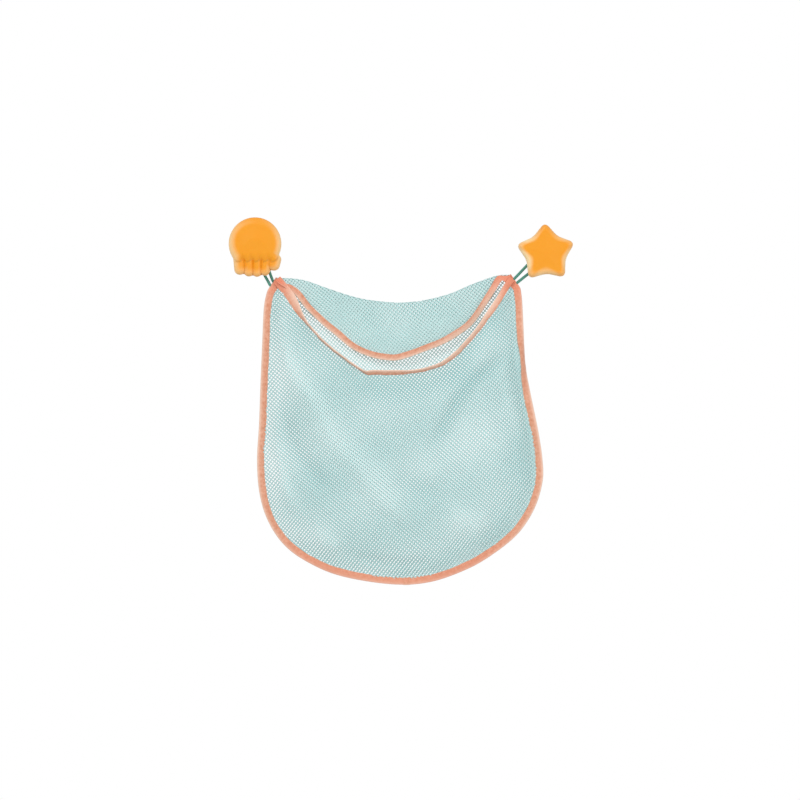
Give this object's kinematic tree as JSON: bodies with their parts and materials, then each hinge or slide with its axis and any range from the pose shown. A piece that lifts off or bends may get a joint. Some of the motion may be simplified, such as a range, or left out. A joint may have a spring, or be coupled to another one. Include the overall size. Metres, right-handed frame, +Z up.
{
  "type": "bath toy organizer",
  "caption": "Mesh pouch with taped edges for bath toys, hung by elastic loops from wall suction cups under a jellyfish and a star cover.",
  "frame": {"origin": "on the wall plane, midway between the centres of the suction cups", "axes": "+X to the right along the wall, +Y into the wall, +Z up; the front faces -Y"},
  "size_m": [0.426, 0.0469, 0.455],
  "materials": {
    "orange_plastic": "satin moulded vinyl",
    "clear_vinyl": "clear soft vinyl",
    "teal_elastic": "braided round elastic",
    "coral_tape": "woven binding tape",
    "aqua_mesh": "open knitted net"
  },
  "bodies": {
    "wall_hangers": {"jellyfish_suction_cup": "clear_vinyl", "star_suction_cup": "clear_vinyl", "left_loop": "teal_elastic", "right_loop": "teal_elastic"},
    "pouch": {"front_panel": "aqua_mesh", "back_panel": "aqua_mesh", "perimeter_binding": "coral_tape", "front_rim_binding": "coral_tape", "flap_binding": "coral_tape"},
    "jellyfish_head": {"jellyfish_cover": "orange_plastic", "jellyfish_back_plate": "orange_plastic"},
    "star_head": {"star_cover": "orange_plastic", "star_back_plate": "orange_plastic"}
  },
  "joints": [
    {"name": "pouch_swing", "type": "hinge", "parent": "wall_hangers", "child": "pouch", "pos_m": [0, -0.0125, -0.0385], "axis": [-1, 0, 0], "range_deg": [0, 75]},
    {"name": "jellyfish_turn", "type": "hinge", "parent": "wall_hangers", "child": "jellyfish_head", "pos_m": [-0.18, 0, 0.0036], "axis": [0, -1, 0], "continuous": true},
    {"name": "star_turn", "type": "hinge", "parent": "wall_hangers", "child": "star_head", "pos_m": [0.18, 0, -0.0036], "axis": [0, -1, 0], "continuous": true}
  ]
}
